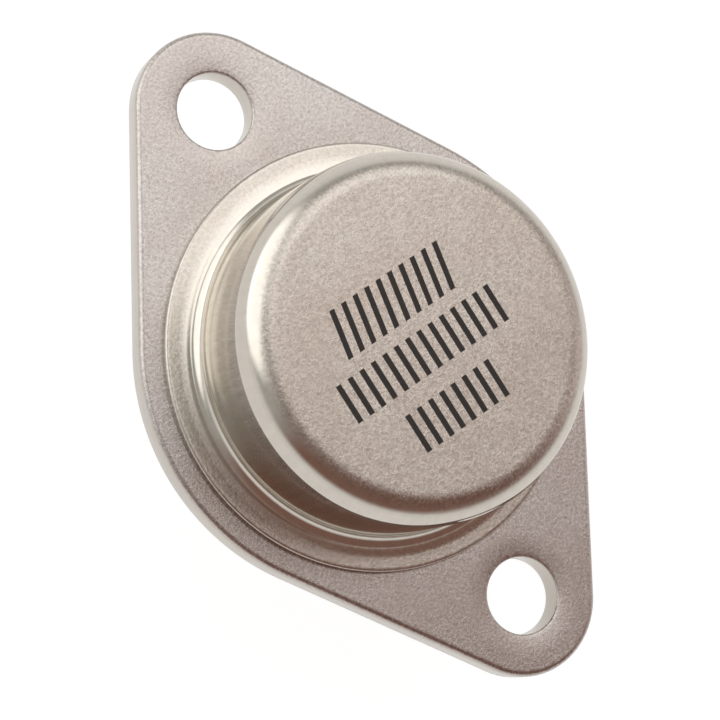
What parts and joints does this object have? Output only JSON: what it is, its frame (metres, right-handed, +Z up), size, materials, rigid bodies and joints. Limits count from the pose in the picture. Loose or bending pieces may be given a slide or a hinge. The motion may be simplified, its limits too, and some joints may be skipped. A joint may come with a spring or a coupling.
{
  "type": "power transistor",
  "caption": "Metal-can power transistor: a drawn can on a flat flange with mounting holes, and round leads through glass seals underneath.",
  "frame": {"origin": "midway between the two mounting holes, on the underside of the flange, which is the seating plane", "axes": "+Z up through the can, +X along the line of the mounting holes towards the side that the leads are offset to, +Y towards the base lead"},
  "size_m": [0.0386, 0.025, 0.0202],
  "materials": {
    "flange_plate": "nickel-plated steel, blasted to a fine matte grain on top",
    "can_sheet": "nickel-plated drawn steel, fine matte grain, smoother on its bends",
    "lead_wire": "nickel-plated iron-nickel wire, drawn",
    "seal_glass": "opaque dark blue-violet sealing glass, fire polished",
    "spreader_copper": "bare copper",
    "braze_alloy": "silver-copper braze",
    "silicon": "polished silicon",
    "solder": "lead-tin solder",
    "wire_aluminium": "bright drawn aluminium"
  },
  "bodies": {
    "root": {"flange": "flange_plate", "can": "can_sheet", "base_lead": "lead_wire", "emitter_lead": "lead_wire", "base_seal": "seal_glass", "emitter_seal": "seal_glass", "heat_spreader": "spreader_copper", "spreader_braze": "braze_alloy", "die": "silicon", "die_solder": "solder", "base_wire": "wire_aluminium", "emitter_wire": "wire_aluminium"}
  },
  "joints": []
}
